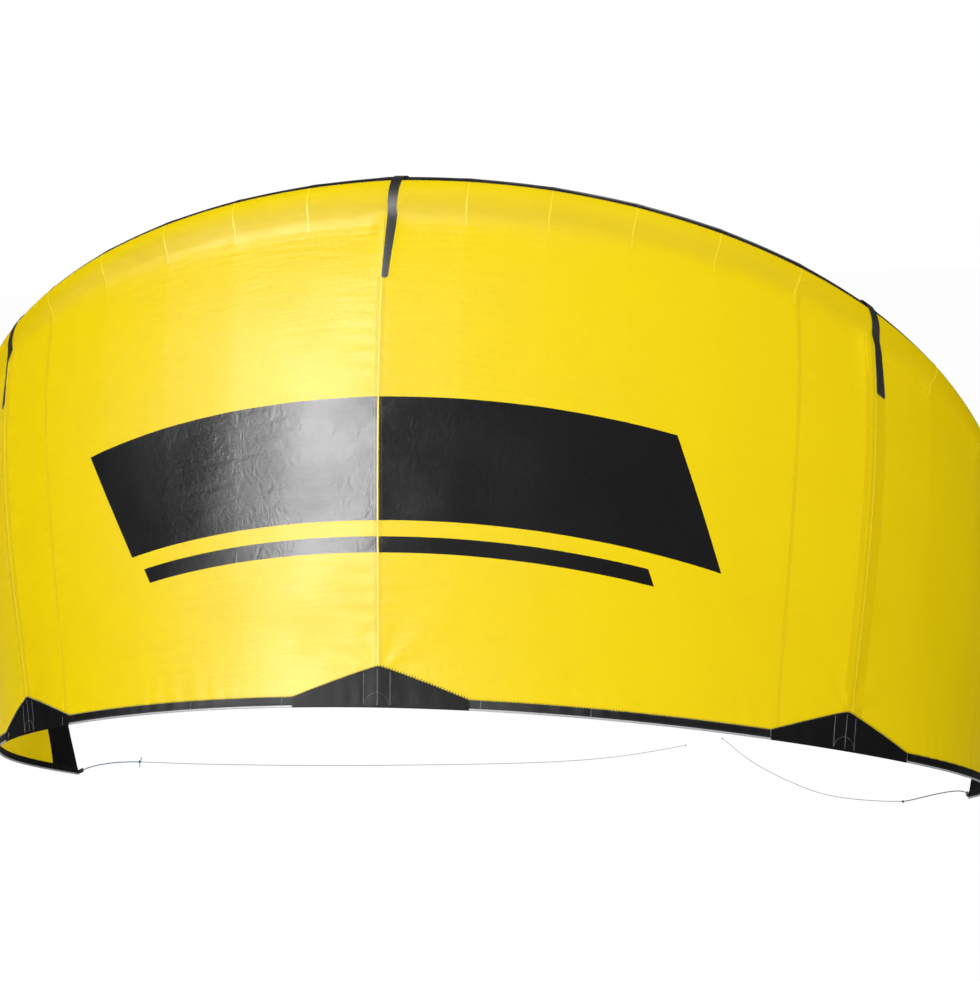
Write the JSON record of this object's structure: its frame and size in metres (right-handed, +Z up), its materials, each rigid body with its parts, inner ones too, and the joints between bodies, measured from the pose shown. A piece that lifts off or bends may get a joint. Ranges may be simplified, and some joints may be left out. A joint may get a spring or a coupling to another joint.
{
  "type": "kitesurfing kite",
  "caption": "Inflatable kitesurfing kite: an arced canopy on a tubular leading edge and struts, with hems, patches, valves, hoses, bridle tabs and rear lines.",
  "frame": {"origin": "on the axis of the leading edge tube at mid span, where the kite is held", "axes": "+X along the span, +Z up from the trailing edge to the leading edge, -Y on the outer side of the arc"},
  "size_m": [4.0408, 4.6043, 3.2215],
  "materials": {
    "canopy_cloth": "glossy coated ripstop",
    "tube_cloth": "satin woven polyester",
    "black_cloth": "satin woven polyester",
    "bladder_film": "clear film",
    "moulded_plastic": "moulded",
    "hose_rubber": "soft hose",
    "webbing": "woven webbing",
    "blue_line": "braided line",
    "grey_line": "braided line"
  },
  "bodies": {
    "kite": {"canopy_left_bay": "canopy_cloth", "canopy_left_tip": "canopy_cloth", "canopy_right_bay": "canopy_cloth", "canopy_right_tip": "canopy_cloth", "dump_valve_base": "moulded_plastic", "hem_left_bay": "black_cloth", "hem_left_tip": "black_cloth", "hem_right_bay": "black_cloth", "hem_right_tip": "black_cloth", "inflation_valve_base": "moulded_plastic", "leading_edge_bladder": "bladder_film", "leading_edge_left_bay": "tube_cloth", "leading_edge_left_tip": "tube_cloth", "leading_edge_right_bay": "tube_cloth", "leading_edge_right_tip": "tube_cloth", "left_hose": "hose_rubber", "left_hose_clip_body": "moulded_plastic", "left_inner_bridle_tab": "webbing", "left_outer_bridle_tab": "webbing", "left_pigtail": "blue_line", "left_rear_line": "blue_line", "left_rear_tab": "webbing", "left_strut_bladder": "bladder_film", "left_strut_casing": "tube_cloth", "left_strut_dart": "black_cloth", "left_strut_elbow": "moulded_plastic", "left_strut_patch": "black_cloth", "left_tip_panel": "black_cloth", "left_tube_elbow": "moulded_plastic", "left_tube_end": "tube_cloth", "middle_hose": "hose_rubber", "middle_hose_clip_body": "moulded_plastic", "middle_strut_bladder": "bladder_film", "middle_strut_casing": "tube_cloth", "middle_strut_dart": "black_cloth", "middle_strut_elbow": "moulded_plastic", "middle_strut_patch": "black_cloth", "middle_tube_elbow": "moulded_plastic", "right_hose": "hose_rubber", "right_hose_clip_body": "moulded_plastic", "right_inner_bridle_tab": "webbing", "right_outer_bridle_tab": "webbing", "right_pigtail": "grey_line", "right_rear_line": "grey_line", "right_rear_tab": "webbing", "right_strut_bladder": "bladder_film", "right_strut_casing": "tube_cloth", "right_strut_dart": "black_cloth", "right_strut_elbow": "moulded_plastic", "right_strut_patch": "black_cloth", "right_tip_panel": "black_cloth", "right_tube_elbow": "moulded_plastic", "right_tube_end": "tube_cloth", "strut_handle": "webbing"},
    "inflation_cap": {"inflation_valve_cap": "moulded_plastic"},
    "inflation_flap": {"inflation_valve_flap": "hose_rubber"},
    "dump_cap": {"dump_valve_cap": "moulded_plastic"},
    "left_clip_lever": {"left_hose_clip_lever": "moulded_plastic"},
    "middle_clip_lever": {"middle_hose_clip_lever": "moulded_plastic"},
    "right_clip_lever": {"right_hose_clip_lever": "moulded_plastic"}
  },
  "joints": [
    {"name": "inflation_cap_hinge", "type": "hinge", "parent": "kite", "child": "inflation_cap", "pos_m": [-0.14648, 0.10141, -0.05981], "axis": [0, 0.4883, 0.8727], "range_deg": [0, 150]},
    {"name": "inflation_flap_hinge", "type": "hinge", "parent": "kite", "child": "inflation_flap", "pos_m": [-0.13746, 0.07669, -0.04598], "axis": [0, -0.4883, -0.8727], "range_deg": [0, 40], "stiffness_Nm_per_rad": 0.01},
    {"name": "dump_cap_hinge", "type": "hinge", "parent": "kite", "child": "dump_cap", "pos_m": [0.82387, 0.17058, -0.17601], "axis": [0, 0.4673, 0.8841], "range_deg": [0, 150]},
    {"name": "left_clip_hinge", "type": "hinge", "parent": "kite", "child": "left_clip_lever", "pos_m": [-1.38578, 0.27023, -0.53109], "axis": [0.4103, -0.8945, 0.1777], "range_deg": [0, 80]},
    {"name": "middle_clip_hinge", "type": "hinge", "parent": "kite", "child": "middle_clip_lever", "pos_m": [0.06835, -0.0346, -0.15864], "axis": [0.9848, -0.1582, -0.0722], "range_deg": [0, 80]},
    {"name": "right_clip_hinge", "type": "hinge", "parent": "kite", "child": "right_clip_lever", "pos_m": [1.38584, 0.27026, -0.53109], "axis": [0.4093, 0.8951, -0.1769], "range_deg": [0, 80]}
  ]
}
